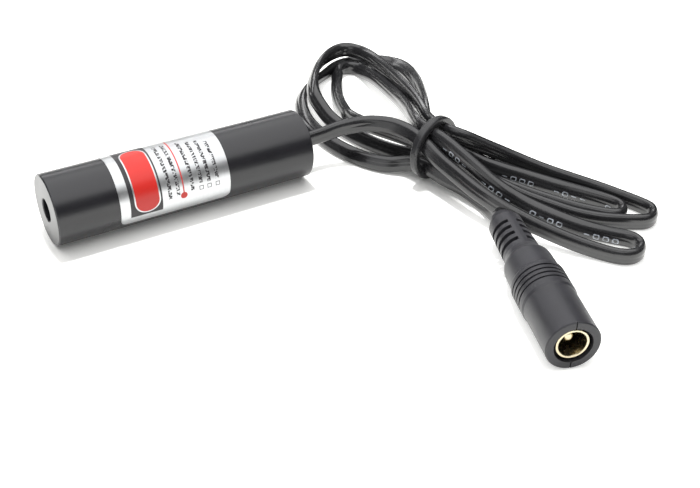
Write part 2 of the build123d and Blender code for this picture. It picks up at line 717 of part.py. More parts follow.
NODES = {
    "barrel": make_barrel(),
    "foil_label": make_label(),
    "line_lens_holder": make_line_lens_holder(),
    "line_lens": make_line_lens(),
    "lens_cell": make_lens_cell(),
    "collimating_lens": make_collimating_lens(),
    "lens_spring": make_lens_spring(),
    "diode_holder": make_diode_holder(),
    "diode_clamp_ring": make_clamp_ring(),
    "laser_diode": make_laser_diode(),
    "diode_window": make_diode_window(),
    "diode_leads": make_diode_leads(),
    "insulating_sleeve": make_insulating_sleeve(),
    "driver_board": make_board(),
    "driver_ic": make_driver_ic(),
    "power_inductor": make_power_inductor(),
    "input_capacitor": make_capacitor(),
    "current_trimmer": make_trimmer(),
    "protection_diode": make_protection_diode(),
    "chip_resistors": make_resistors(),
    "rear_cap": make_rear_cap(),
    "cable_bush": make_cable_bush(),
    "cable_jacket_end": make_jacket_end(),
    "positive_core": make_core(1),
    "negative_core": make_core(-1),
    "cable_lead": make_cable_lead(),
    "cable_hank": make_hank(),
    "cable_tail": make_cable_tail(),
    "tie_band": make_tie(),
    "socket_housing": SOCKET_PLACE * make_socket_housing(),
    "socket_shell_contact": SOCKET_PLACE * make_shell_contact(),
    "socket_insulator": SOCKET_PLACE * make_socket_insulator(),
    "socket_pin": SOCKET_PLACE * make_centre_pin(),
    "socket_leaf_contact": SOCKET_PLACE * make_leaf_contact(),
}

os.makedirs("parts", exist_ok=True)
for name, solid in NODES.items():
    export_step(solid, f"parts/{name}.step")
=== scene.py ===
"""Laser diode module: finishes for its turned barrel, optics and driver, and its flat lead tied in a hank."""

import math

import bmesh
import bpy
from bpy.props import FloatProperty, FloatVectorProperty, IntProperty, PointerProperty
from bpy.types import Operator, Panel, PropertyGroup
from mathutils import Matrix, Vector


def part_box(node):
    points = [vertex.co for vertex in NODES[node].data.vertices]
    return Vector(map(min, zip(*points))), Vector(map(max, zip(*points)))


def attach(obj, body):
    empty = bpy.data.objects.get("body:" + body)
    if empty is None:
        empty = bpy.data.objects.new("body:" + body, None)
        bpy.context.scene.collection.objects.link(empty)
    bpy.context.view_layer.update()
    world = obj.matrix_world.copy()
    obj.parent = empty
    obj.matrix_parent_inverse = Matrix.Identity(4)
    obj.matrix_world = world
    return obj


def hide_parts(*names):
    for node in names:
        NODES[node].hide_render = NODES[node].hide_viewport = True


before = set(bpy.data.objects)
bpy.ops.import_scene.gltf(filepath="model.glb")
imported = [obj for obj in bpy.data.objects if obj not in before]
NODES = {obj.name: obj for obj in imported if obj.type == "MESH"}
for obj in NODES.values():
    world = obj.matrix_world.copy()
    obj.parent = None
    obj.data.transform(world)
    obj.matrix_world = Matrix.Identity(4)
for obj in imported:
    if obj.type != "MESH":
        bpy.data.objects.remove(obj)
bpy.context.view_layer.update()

bl_info = {
    "name": "Laser Diode Module",
    "version": (1, 0, 0),
    "blender": (4, 5, 0),
    "location": "View3D > Sidebar > Laser Module",
    "description": "Finishes a laser diode module, its flat lead in a tied hank and its in-line socket",
    "category": "Object",
}

BARREL_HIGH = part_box("barrel")[1]
MM = 0.001

# Height of the barrel axis in millimetres, which is also the barrel's radius, since it lies on the floor
AXIS_HEIGHT = BARREL_HIGH.y / MM

# The lead's own line in millimetres: the stretch from the barrel, the hank's folds and the stretch to the socket
LEAD_POINTS = [(30.5, 0.0, 8.0), (36.2, 0.3, 8.0), (41.8, -0.6, 9.3), (46.6, -3.6, 10.8), (50.6, -7.6, 11.4)]
TAIL_POINTS = [(59.1, -28.0, 2.4), (59.7, -32.8, 2.0), (59.6, -37.0, 2.0), (58.2, -41.2, 3.0),
               (55.6, -47.05, 5.8)]
# How far the section leans to the side at those points, in degrees
LEAD_LEANS = (0, 0, -4, -16, -28)
TAIL_LEANS = (-26, -28, -26, -16, 0)
WAIST_CENTRE = Vector((57.6, -17.0, 8.0))
WAIST_HEADING = -73.0
WAIST_REACH = 5.0
# Each pass through the tie as (across, up) where it comes in, at the ring and where it goes out
WAIST_PASSES = [
    ((-3.3, 3.4), (-4.1, 2.7), (-4.6, 0.6)),
    ((-2.2, 4.2), (-1.3, 4.1), (-1.1, 5.0)),
    ((-1.2, 0.2), (-0.7, 0.0), (-1.0, -0.9)),
    ((2.5, 4.2), (2.6, 3.6), (3.4, 4.0)),
    ((-0.4, -4.6), (1.2, -4.0), (1.3, -4.2)),
    ((2.9, 0.0), (3.3, -0.5), (4.6, -0.2)),
    ((-3.4, -5.0), (-2.9, -3.4), (-3.2, -4.4)),
]
# Each fold of the hank: its heading from the tie, its leans spread evenly from end to end, then
# (ahead, aside, height) of its points; the five points at its tip follow a round bend
FOLDS = [
    (-72, (-24, -21, -18, -4, 0, 0, 1, 6, 26, 26, 14),
     [(11.4, -6.1, 7.8), (17.3, -7.2, 6.9), (21.2, -7.7, 6.5), (24.5, -7.7, 5.9), (28.0, -7.2, 5.1),
      (34.6, -5.9, 3.8), (42.5, -3.9, 2.6), (48.3, -1.8, 1.9), (51.9, -0.5, 1.9), (53.9, 1.3, 1.9),
      (54.3, 4.0, 1.9), (52.9, 6.3, 1.9), (50.3, 7.1, 1.9), (46.3, 5.3, 1.9), (40.7, 3.1, 2.0),
      (34.1, 0.9, 3.0), (27.4, -1.4, 4.6), (21.3, -3.5, 7.2), (14.2, -3.4, 9.8)]),
    (77, (0, 8, 16, 18, 10, -4, -30, -42, -34, -14, 0),
     [(20.9, 0.2, 9.0), (35.4, -0.4, 6.0), (46.1, -0.5, 4.0), (54.0, 0.4, 1.9), (56.2, 1.4, 1.9),
      (57.0, 3.7, 2.0), (56.0, 6.1, 2.4), (54.5, 7.5, 1.9), (52.3, 7.9, 1.9), (45.5, 10.4, 2.3),
      (36.2, 12.5, 3.6), (28.1, 13.6, 5.3), (19.5, 14.0, 6.8)]),
    (-57, (0,),
     [(19.7, -4.0, 4.6), (24.4, -4.0, 3.6), (30.1, -3.5, 2.7), (36.4, -3.0, 1.9), (42.6, -2.1, 1.9),
      (49.6, 1.0, 1.9), (51.7, 2.5, 1.9), (52.4, 5.0, 1.9), (51.3, 7.3, 1.9), (49.0, 8.3, 1.9),
      (44.7, 9.2, 1.9), (38.4, 9.6, 2.4), (31.3, 8.8, 3.4), (24.2, 7.5, 4.8), (17.1, 6.1, 6.9),
      (10.9, 3.5, 9.6)]),
    (76, (0, 6, 12, 18, 14, 0, -26, -42, -42, -36, -16),
     [(16.5, -1.6, 11.3), (30.1, -1.6, 9.6), (43.1, -1.3, 7.8), (51.8, -0.4, 6.9), (57.7, 1.6, 6.3),
      (60.0, 5.0, 6.2), (57.8, 9.3, 6.2), (52.5, 14.0, 6.4), (44.4, 17.8, 6.5), (37.0, 19.8, 6.1),
      (32.5, 18.9, 4.4), (28.0, 17.4, 2.6), (21.6, 14.1, 1.9), (12.8, 8.9, 1.9)]),
    (-48, (0, 0, 0, 0, 20, 10),
     [(19.9, -2.8, 2.3), (25.3, -3.9, 1.9), (31.5, -5.4, 1.9), (37.4, -6.4, 1.9), (43.1, -6.4, 1.9),
      (44.9, -5.6, 1.9), (45.7, -3.9, 1.9), (45.1, -2.0, 1.9), (43.5, -0.9, 1.9), (40.6, -0.1, 1.9),
      (35.2, 1.0, 1.9), (29.2, 1.5, 2.3), (23.2, 1.3, 3.3), (17.2, 0.8, 4.4), (10.9, 1.3, 5.3)]),
    (75, (0, 22, 44, 52, 36, 8, -24, -42, -46, -40, -20),
     [(21.4, -4.9, 7.2), (31.2, -6.8, 6.1), (41.5, -8.6, 4.7), (51.5, -8.8, 3.3), (57.6, -5.9, 2.0),
      (59.1, -1.1, 1.9), (59.4, 3.5, 1.9), (58.0, 8.8, 1.9), (52.0, 15.1, 1.9), (46.3, 20.5, 1.9),
      (39.4, 23.2, 1.9), (30.2, 23.9, 1.9), (21.3, 22.0, 1.9), (12.3, 18.0, 1.9), (4.8, 11.5, 2.0)]),
]
# Where the section's outline swells into its ribs: angle in degrees, and share of the rib's height there
RIB_SHARES = {64: 0.0, 68: 1.0, 73: 0.0, 85: 0.0, 90: 1.0, 95: 0.0, 107: 0.0, 112: 1.0, 116: 0.0}
# Angles of the outline in degrees that are added beside the even ones, so that the groove keeps its shape
GROOVE_ANGLES = (4, 8, 172, 176, 184, 188, 352, 356)
GROOVE_SPREAD = 0.0003
# Stretches of the lead that carry pale marks, in millimetres from the barrel
MARKED_STRETCHES = [(93, 148), (566, 612)]
# The marks in millimetres: from the groove to the middle of their row, from one to the next, and from group to group
MARK_ROW = 0.85
MARK_PITCH = 2.1
MARK_GROUP = 12.6
# Share of each group that is filled, and share of the marks that are dashes
GROUP_FILL = 0.68
DASH_SHARE = 0.24
# Printed rows of the label, as (station in millimetres, first and last angle in degrees round the barrel)
LABEL_ROWS = ((-5.3, 182, 84), (-3.4, 180, 83), (0.0, 177, 88), (2.1, 168, 92), (4.0, 169, 95), (6.0, 168, 102))
# Stations of the rows that start with a small open box
BOXED_ROWS = (2.1, 4.0, 6.0)
CAMERA_PLACE = (-0.08103, -0.20975, 0.14469)
SENSOR_WIDTH = 36.0


# Shader nodes

def add(tree, kind, inputs=None, **settings):
    """Add a shader node, set its options and fill or link its inputs."""
    made = tree.nodes.new(kind)
    for name, value in settings.items():
        setattr(made, name, value)
    for socket, value in (inputs or {}).items():
        if isinstance(value, bpy.types.NodeSocket):
            tree.links.new(value, made.inputs[socket])
        else:
            made.inputs[socket].default_value = value
    return made


def calc(tree, operation, *values, clamp=False):
    """One arithmetic step on numbers or sockets."""
    return add(tree, "ShaderNodeMath", dict(enumerate(values)), operation=operation, use_clamp=clamp).outputs[0]


def hypotenuse(tree, first, second):
    """Root of the sum of two squares."""
    return calc(tree, "SQRT", calc(tree, "ADD", calc(tree, "POWER", first, 2.0), calc(tree, "POWER", second, 2.0)))


def blend_colour(tree, share, first, second):
    """Mix two colours, numbers or sockets alike, by a share."""
    made = add(tree, "ShaderNodeMix", {0: share, 6: first, 7: second}, data_type="RGBA")
    return made.outputs[2]


def spread(tree, value, low, high, to_low=0.0, to_high=1.0):
    """Map a value from one range onto another, held at its ends."""
    return add(tree, "ShaderNodeMapRange", {0: value, 1: low, 2: high, 3: to_low, 4: to_high}).outputs[0]


def effect_group(name, inputs, outputs):
    """Start a shader node group with named sockets; each input is (name, socket type, default)."""
    group = bpy.data.node_groups.new(name, "ShaderNodeTree")
    for label, kind, default in inputs:
        socket = group.interface.new_socket(label, in_out="INPUT", socket_type=kind)
        if default is not None:
            socket.default_value = default
    for label, kind in outputs:
        group.interface.new_socket(label, in_out="OUTPUT", socket_type=kind)
    return group, group.nodes.new("NodeGroupInput").outputs, group.nodes.new("NodeGroupOutput").inputs


def fine_grain():
    """Even grain of a blasted, moulded or rubbed surface: a height and a slow change of tone."""
    group, given, out = effect_group(
        "Fine grain",
        [("Vector", "NodeSocketVector", None), ("Grains per mm", "NodeSocketFloat", 6.0),
         ("Cloud size mm", "NodeSocketFloat", 6.0)],
        [("Height", "NodeSocketFloat"), ("Tone", "NodeSocketFloat")])
    per_metre = calc(group, "MULTIPLY", given["Grains per mm"], 1 / MM)
    grain = add(group, "ShaderNodeTexNoise", {"Vector": given["Vector"], "Scale": per_metre, "Detail": 2.0})
    cloud_scale = calc(group, "DIVIDE", 1 / MM, given["Cloud size mm"])
    cloud = add(group, "ShaderNodeTexNoise", {"Vector": given["Vector"], "Scale": cloud_scale, "Detail": 4.0})
    group.links.new(grain.outputs["Fac"], out["Height"])
    group.links.new(spread(group, cloud.outputs["Fac"], 0.3, 0.7), out["Tone"])
    return group


def turning_marks():
    """Rings that a lathe tool leaves round the beam axis, by station and by radius."""
    group, given, out = effect_group(
        "Turning marks",
        [("Vector", "NodeSocketVector", None), ("Rings per mm", "NodeSocketFloat", 5.0)],
        [("Height", "NodeSocketFloat")])
    parts = add(group, "ShaderNodeSeparateXYZ", {0: given["Vector"]}).outputs
    height = calc(group, "SUBTRACT", parts["Z"], AXIS_HEIGHT * MM)
    radius = hypotenuse(group, parts["Y"], height)
    place = add(group, "ShaderNodeCombineXYZ", {0: parts["X"], 1: radius, 2: 0.0}).outputs[0]
    per_metre = calc(group, "MULTIPLY", given["Rings per mm"], 1 / MM)
    rings = add(group, "ShaderNodeTexNoise", {"Vector": place, "Scale": per_metre, "Detail": 3.0})
    group.links.new(rings.outputs["Fac"], out["Height"])
    return group


def edge_rub_and_highlight():
    """Mask of edges to paint lighter, for rubbed wear and for a painted edge highlight, broken up by noise."""
    group, given, out = effect_group(
        "Edge rub and highlight",
        [("Vector", "NodeSocketVector", None), ("Width mm", "NodeSocketFloat", 0.25)],
        [("Mask", "NodeSocketFloat")])
    radius = calc(group, "MULTIPLY", given["Width mm"], MM)
    rounded = add(group, "ShaderNodeBevel", {"Radius": radius}, samples=4).outputs[0]
    true_normal = add(group, "ShaderNodeNewGeometry").outputs["Normal"]
    facing = add(group, "ShaderNodeVectorMath", {0: rounded, 1: true_normal}, operation="DOT_PRODUCT").outputs["Value"]
    edge = spread(group, facing, 0.985, 0.80)
    breaks = add(group, "ShaderNodeTexNoise", {"Vector": given["Vector"], "Scale": 900.0, "Detail": 3.0})
    group.links.new(calc(group, "MULTIPLY", edge, spread(group, breaks.outputs["Fac"], 0.38, 0.6)), out["Mask"])
    return group


def dust_specks():
    """Sparse pale specks of dust."""
    group, given, out = effect_group(
        "Dust specks",
        [("Vector", "NodeSocketVector", None), ("Specks per mm", "NodeSocketFloat", 1.2),
         ("Speck size", "NodeSocketFloat", 0.06)],
        [("Mask", "NodeSocketFloat")])
    per_metre = calc(group, "MULTIPLY", given["Specks per mm"], 1 / MM)
    cells = add(group, "ShaderNodeTexVoronoi", {"Vector": given["Vector"], "Scale": per_metre})
    shade = add(group, "ShaderNodeSeparateColor", {0: cells.outputs["Color"]}).outputs[0]
    size = calc(group, "MULTIPLY", given["Speck size"], spread(group, shade, 0.5, 1.0))
    near = calc(group, "LESS_THAN", cells.outputs["Distance"], size)
    group.links.new(near, out["Mask"])
    return group


def print_field():
    """Mask of one printed field with rounded corners on a flat or rolled-out sheet, in millimetres."""
    group, given, out = effect_group(
        "Print field",
        [("U", "NodeSocketFloat", 0.0), ("V", "NodeSocketFloat", 0.0), ("Centre U", "NodeSocketFloat", 0.0),
         ("Centre V", "NodeSocketFloat", 0.0), ("Half width", "NodeSocketFloat", 1.0),
         ("Half height", "NodeSocketFloat", 1.0), ("Corner", "NodeSocketFloat", 0.1),
         ("Softness", "NodeSocketFloat", 0.08)],
        [("Mask", "NodeSocketFloat")])
    sides = []
    for place, centre, half in (("U", "Centre U", "Half width"), ("V", "Centre V", "Half height")):
        offset = calc(group, "ABSOLUTE", calc(group, "SUBTRACT", given[place], given[centre]))
        sides.append(calc(group, "ADD", calc(group, "SUBTRACT", offset, given[half]), given["Corner"]))
    outside = [calc(group, "MAXIMUM", side, 0.0) for side in sides]
    length = hypotenuse(group, *outside)
    inside = calc(group, "MINIMUM", calc(group, "MAXIMUM", sides[0], sides[1]), 0.0)
    distance = calc(group, "SUBTRACT", calc(group, "ADD", length, inside), given["Corner"])
    scaled = calc(group, "DIVIDE", distance, given["Softness"])
    group.links.new(calc(group, "SUBTRACT", 0.5, scaled, clamp=True), out["Mask"])
    return group


def use(tree, group, inputs):
    """Place a shared group in a material with its own values."""
    return add(tree, "ShaderNodeGroup", inputs, node_tree=group).outputs


GROUPS = {}


def shared(name):
    """The shared group of that name, built when it is first asked for."""
    makers = {"grain": fine_grain, "turning": turning_marks, "rub": edge_rub_and_highlight, "dust": dust_specks,
              "field": print_field}
    if name not in GROUPS:
        GROUPS[name] = makers[name]()
    return GROUPS[name]


def start_material(name):
    """A material with its Principled shader, and the point on the object in metres."""
    material = bpy.data.materials.new(name)
    material.use_nodes = True
    tree = material.node_tree
    shader = tree.nodes["Principled BSDF"]
    place = add(tree, "ShaderNodeTexCoord").outputs["Object"]
    return material, tree, shader, place


def bump(tree, shader, height, distance, strength=1.0):
    """Feed a height to the shader's normal, its full depth given in millimetres."""
    made = add(tree, "ShaderNodeBump", {"Strength": strength, "Distance": distance * MM, "Height": height})
    tree.links.new(made.outputs[0], shader.inputs["Normal"])


def surface(name, colour, roughness, metallic=0.0, grains=6.0, depth=0.01, tone=0.25, rub=0.0, rub_and_highlight_colour=None,
            turned=0.0, dust=0.0, cloud=6.0, **sockets):
    """Procedural finish: a grain, a slow change of tone, edges painted lighter (rubbed wear on most parts, a painted
    edge highlight on the barrel), tool rings and a little dust.
    """
    material, tree, shader, place = start_material(name)
    grain = use(tree, shared("grain"), {"Vector": place, "Grains per mm": grains, "Cloud size mm": cloud})
    dark = [c * (1 - tone) for c in colour] + [1.0]
    light = [min(1.0, c * (1 + tone)) for c in colour] + [1.0]
    shade = blend_colour(tree, grain["Tone"], dark, light)
    rough = spread(tree, grain["Tone"], 0.0, 1.0, roughness * 0.88, min(1.0, roughness * 1.12))
    # Edges painted lighter: rubbed wear on most parts, a painted edge highlight on the barrel
    if rub:
        mask = use(tree, shared("rub"), {"Vector": place, "Width mm": rub})["Mask"]
        worn_and_lit = list(rub_and_highlight_colour or [min(1.0, c * 2.5 + 0.03) for c in colour]) + [1.0]
        shade = blend_colour(tree, mask, shade, worn_and_lit)
    if dust:
        mask = use(tree, shared("dust"), {"Vector": place, "Speck size": dust})["Mask"]
        shade = blend_colour(tree, calc(tree, "MULTIPLY", mask, 0.35), shade, (0.35, 0.34, 0.33, 1.0))
        rough = calc(tree, "ADD", rough, calc(tree, "MULTIPLY", mask, 0.25), clamp=True)
    height = grain["Height"]
    if turned:
        rings = use(tree, shared("turning"), {"Vector": place, "Rings per mm": turned})["Height"]
        height = calc(tree, "ADD", calc(tree, "MULTIPLY", height, 0.4), rings)
    tree.links.new(shade, shader.inputs["Base Color"])
    tree.links.new(rough, shader.inputs["Roughness"])
    shader.inputs["Metallic"].default_value = metallic
    for label, value in sockets.items():
        shader.inputs[label.replace("_", " ")].default_value = value
    bump(tree, shader, height, depth)
    return material


def clear_glass(name, colour, coat_tint=None):
    """Polished optical glass with a faint coating tint that changes over the face."""
    material, tree, shader, place = start_material(name)
    grain = use(tree, shared("grain"), {"Vector": place, "Grains per mm": 0.8, "Cloud size mm": 3.0})
    tint = coat_tint or colour
    shade = blend_colour(tree, grain["Tone"], list(colour) + [1.0], list(tint) + [1.0])
    tree.links.new(shade, shader.inputs["Base Color"])
    tree.links.new(spread(tree, grain["Tone"], 0.0, 1.0, 0.015, 0.04), shader.inputs["Roughness"])
    shader.inputs["Transmission Weight"].default_value = 1.0
    shader.inputs["IOR"].default_value = 1.52
    bump(tree, shader, grain["Height"], 0.001, 0.3)
    return material


def finish(node, material):
    """Give a node of the frame its material through its slots."""
    target = NODES[node] if isinstance(node, str) else node
    if target.material_slots:
        for place in target.material_slots:
            place.material = material
    else:
        target.data.materials.append(material)


# Settings

class BarrelSettings(PropertyGroup):
    """Finishes of the barrel and its foil label."""

    anodise: FloatVectorProperty(name="Anodise", description="Colour of the anodised barrel", subtype="COLOR",
                                 size=3, min=0, max=1, default=(0.0085, 0.0083, 0.0105))
    anodise_roughness: FloatProperty(name="Anodise roughness", description="Roughness of the blasted, anodised skin",
                                     default=0.30, min=0, max=1, subtype="FACTOR")
    foil: FloatVectorProperty(name="Foil", description="Colour of the bare label foil", subtype="COLOR",
                              size=3, min=0, max=1, default=(0.62, 0.63, 0.64))
    dark_print: FloatVectorProperty(name="Dark print", description="Colour of the label's dark ink", subtype="COLOR",
                                    size=3, min=0, max=1, default=(0.018, 0.016, 0.019))
    red_print: FloatVectorProperty(name="Red print", description="Colour of the label's red ink", subtype="COLOR",
                                   size=3, min=0, max=1, default=(0.50, 0.016, 0.011))


class CordSettings(PropertyGroup):
    """Section and finish of the flat two-core lead."""

    width: FloatProperty(name="Width", description="Long side of the lead's section", default=0.0038,
                         min=0.002, max=0.01, unit="LENGTH")
    thickness: FloatProperty(name="Thickness", description="Short side of the lead's section", default=0.0021,
                             min=0.001, max=0.005, unit="LENGTH")
    groove: FloatProperty(name="Groove depth", description="Depth of the groove between the two cores",
                          default=0.00006, min=0.0, max=0.0008, unit="LENGTH")
    squareness: FloatProperty(name="Squareness", description="Power of the section's outline: 2 is an ellipse",
                              default=2.35, min=2.0, max=6.0)
    rib: FloatProperty(name="Rib height", description="Height of the marking ribs on one edge", default=0.00012,
                       min=0.0, max=0.0003, unit="LENGTH")
    steps: IntProperty(name="Steps", description="Points of the line for each control point", default=12,
                       min=4, max=24)
    jacket: FloatVectorProperty(name="Jacket", description="Colour of the jacket", subtype="COLOR",
                                size=3, min=0, max=1, default=(0.013, 0.013, 0.0140))
    marks: FloatVectorProperty(name="Marks", description="Colour of the pale marks on the jacket", subtype="COLOR",
                               size=3, min=0, max=1, default=(0.42, 0.45, 0.50))


class StageSettings(PropertyGroup):
    """Floor, lights and camera."""

    floor: FloatVectorProperty(name="Floor", description="Colour of the floor", subtype="COLOR",
                               size=3, min=0, max=1, default=(0.86, 0.86, 0.84))
    key_power: FloatProperty(name="Key light", description="Power of the small light that draws the shadows",
                             default=3.8, min=0, unit="POWER")
    box_power: FloatProperty(name="Soft box", description="Power of the wide soft box overhead", default=11.5, min=0,
                             unit="POWER")
    world_strength: FloatProperty(name="World strength", description="Strength of the surrounding light",
                                  default=0.10, min=0, max=5)
    heading: FloatProperty(name="Camera heading", description="Compass heading of the camera", subtype="ANGLE",
                           default=math.radians(31.10))
    dip: FloatProperty(name="Camera dip", description="Angle of the camera below the horizon", subtype="ANGLE",
                       default=math.radians(34.90))
    roll: FloatProperty(name="Camera roll", description="Roll of the camera", subtype="ANGLE",
                        default=math.radians(1.417))
    lens: FloatProperty(name="Lens", description="Focal length on a 36 mm wide sensor, in millimetres", default=59.41,
                        min=10, max=300)


# Barrel and label

class LASER_OT_barrel(Operator):
    """Anodise the barrel, with blasted grain, faint tool rings and a painted edge highlight on its corners"""
    bl_idname = "laser_module.barrel"
    bl_label = "Barrel"

    def execute(self, context):
        given = context.scene.laser_barrel
        # The lighter edge colour on the barrel is a painted edge highlight, not wear
        skin = surface("black_anodise", given.anodise, given.anodise_roughness, grains=9.0, depth=0.004, tone=0.10,
                       rub=0.16, rub_and_highlight_colour=(0.10, 0.10, 0.115), turned=4.0, dust=0.035, cloud=14.0,
                       Specular_IOR_Level=0.62)
        finish("barrel", skin)
        return {"FINISHED"}


def label_material(given):
    """Brushed foil with plain printed fields, laid out by station and by arc round the barrel."""
    material, tree, shader, place = start_material("label_foil")
    parts = add(tree, "ShaderNodeSeparateXYZ", {0: place}).outputs
    station = calc(tree, "DIVIDE", parts["X"], MM)
    height = calc(tree, "SUBTRACT", parts["Z"], AXIS_HEIGHT * MM)
    angle = calc(tree, "ARCTAN2", height, parts["Y"])
    angle = calc(tree, "WRAP", angle, math.tau, 0.0)
    arc = calc(tree, "MULTIPLY", angle, AXIS_HEIGHT)

    def at(degrees):
        return math.radians(degrees) * AXIS_HEIGHT

    def field(from_x, to_x, from_angle, to_angle, corner=0.1):
        low, high = at(min(from_angle, to_angle)), at(max(from_angle, to_angle))
        return use(tree, shared("field"), {
            "U": station, "V": arc, "Centre U": (from_x + to_x) / 2, "Centre V": (low + high) / 2,
            "Half width": (to_x - from_x) / 2, "Half height": (high - low) / 2, "Corner": corner})["Mask"]

    panel = field(-14.5, -7.1, 199, 50, 0.15)
    border = field(-13.5, -7.5, 195, 74, 2.95)
    red_bar = field(-13.2, -7.8, 193, 76, 2.65)
    red_line = field(-2.25, -1.95, 179, 74, 0.05)
    dot = field(-2.9, -1.3, 187.5, 176, 0.78)
    red = calc(tree, "MAXIMUM", red_bar, calc(tree, "MAXIMUM", red_line, dot))
    rows = None
    for x, start, end in LABEL_ROWS:
        row = field(x - 0.42, x + 0.42, start, end, 0.05)
        rows = row if rows is None else calc(tree, "MAXIMUM", rows, row)
    stroke_place = add(tree, "ShaderNodeCombineXYZ", {0: calc(tree, "MULTIPLY", station, 1.3),
                                                      1: calc(tree, "MULTIPLY", arc, 2.6), 2: 3.0}).outputs[0]
    strokes = add(tree, "ShaderNodeTexNoise", {"Vector": stroke_place, "Scale": 1.0, "Detail": 1.0}).outputs["Fac"]
    rows = calc(tree, "MULTIPLY", rows, spread(tree, strokes, 0.44, 0.50))
    for x in BOXED_ROWS:
        box = calc(tree, "SUBTRACT", field(x - 0.5, x + 0.5, 180, 172.8, 0.1),
                   field(x - 0.36, x + 0.36, 179, 173.8, 0.05))
        rows = calc(tree, "MAXIMUM", rows, box)
    dark = calc(tree, "MAXIMUM", calc(tree, "SUBTRACT", panel, border, clamp=True), rows)

    grain = use(tree, shared("grain"), {"Vector": place, "Grains per mm": 12.0, "Cloud size mm": 7.0})
    brushed_place = add(tree, "ShaderNodeCombineXYZ", {0: calc(tree, "MULTIPLY", station, 6.0),
                                                       1: calc(tree, "MULTIPLY", arc, 0.25), 2: 0.0}).outputs[0]
    brushed = add(tree, "ShaderNodeTexNoise", {"Vector": brushed_place, "Scale": 1.0, "Detail": 4.0}).outputs["Fac"]
    foil_low = [c * 0.86 for c in given.foil] + [1.0]
    foil_high = [min(1.0, c * 1.12) for c in given.foil] + [1.0]
    colour = blend_colour(tree, brushed, foil_low, foil_high)
    colour = blend_colour(tree, dark, colour, list(given.dark_print) + [1.0])
    colour = blend_colour(tree, red, colour, list(given.red_print) + [1.0])
    ink = calc(tree, "MAXIMUM", dark, red)
    tree.links.new(colour, shader.inputs["Base Color"])
    tree.links.new(calc(tree, "SUBTRACT", 1.0, ink), shader.inputs["Metallic"])
    tree.links.new(spread(tree, calc(tree, "ADD", brushed, calc(tree, "MULTIPLY", grain["Tone"], 0.5)),
                          0.3, 1.2, 0.30, 0.42), shader.inputs["Roughness"])
    wrinkle = add(tree, "ShaderNodeTexNoise", {"Vector": place, "Scale": 260.0, "Detail": 2.0}).outputs["Fac"]
    total = calc(tree, "ADD", calc(tree, "MULTIPLY", brushed, 0.08),
                 calc(tree, "ADD", wrinkle, calc(tree, "MULTIPLY", ink, 0.12)))
    bump(tree, shader, total, 0.03, 0.6)
    return material


class LASER_OT_label(Operator):
    """Print the foil label with its plain colour fields"""
    bl_idname = "laser_module.label"
    bl_label = "Foil label"

    def execute(self, context):
        finish("foil_label", label_material(context.scene.laser_barrel))
        return {"FINISHED"}


# Inside the barrel

class LASER_OT_optics(Operator):
    """Finish the optical train: lens holder, lenses, cell, spring, diode holder and diode"""
    bl_idname = "laser_module.optics"
    bl_label = "Optical train"

    def execute(self, context):
        holder = surface("lens_holder_black", (0.02, 0.02, 0.021), 0.5, grains=6.0, depth=0.006, turned=5.0,
                         rub=0.12)
        glass = clear_glass("optical_glass", (0.97, 0.99, 0.98), (0.90, 0.93, 1.0))
        brass = surface("turned_brass", (0.78, 0.53, 0.20), 0.28, metallic=1.0, grains=5.0, depth=0.006, tone=0.12,
                        turned=6.0, rub=0.1, rub_and_highlight_colour=(0.92, 0.72, 0.38))
        steel = surface("spring_steel", (0.52, 0.52, 0.50), 0.3, metallic=1.0, grains=8.0, depth=0.003, tone=0.15)
        gilt = surface("gilt_steel", (0.86, 0.62, 0.26), 0.24, metallic=1.0, grains=8.0, depth=0.003, tone=0.1,
                       rub=0.06, rub_and_highlight_colour=(0.95, 0.8, 0.5))
        for node, material, slot in (
                ("line_lens_holder", holder, "lens_holder"), ("line_lens", glass, "optical_glass"),
                ("lens_cell", brass, "turned_brass"), ("collimating_lens", glass, "optical_glass"),
                ("lens_spring", steel, "spring_steel"), ("diode_holder", brass, "turned_brass"),
                ("diode_clamp_ring", brass, "turned_brass"), ("laser_diode", gilt, "gilt_steel"),
                ("diode_window", glass, "optical_glass"), ("diode_leads", gilt, "gilt_steel")):
            finish(node, material)
        return {"FINISHED"}


class LASER_OT_driver(Operator):
    """Finish the driver board, its components and its sleeve"""
    bl_idname = "laser_module.driver"
    bl_label = "Driver board"

    def execute(self, context):
        sleeve = clear_glass("clear_sleeve", (0.93, 0.95, 0.93), (0.98, 0.97, 0.90))
        board = surface("board_green", (0.02, 0.13, 0.05), 0.42, grains=2.5, depth=0.012, tone=0.35, cloud=2.0,
                        Coat_Weight=0.4)
        moulded = surface("moulded_black", (0.018, 0.018, 0.02), 0.55, grains=10.0, depth=0.012, tone=0.2, rub=0.08)
        ferrite = surface("ferrite", (0.06, 0.058, 0.055), 0.62, grains=7.0, depth=0.03, tone=0.3)
        can = surface("capacitor_can", (0.72, 0.73, 0.74), 0.3, metallic=1.0, grains=10.0, depth=0.004, tone=0.1)
        trimmer = surface("trimmer_body", (0.70, 0.66, 0.54), 0.45, grains=8.0, depth=0.01, tone=0.15)
        resistor = surface("resistor_body", (0.03, 0.03, 0.032), 0.35, grains=9.0, depth=0.01, tone=0.3)
        for node, material, slot in (
                ("insulating_sleeve", sleeve, "clear_sleeve"), ("driver_board", board, "board_green"),
                ("driver_ic", moulded, "moulded_black"), ("protection_diode", moulded, "moulded_black"),
                ("power_inductor", ferrite, "ferrite"), ("input_capacitor", can, "capacitor_can"),
                ("current_trimmer", trimmer, "trimmer_body"), ("chip_resistors", resistor, "resistor_body")):
            finish(node, material)
        return {"FINISHED"}


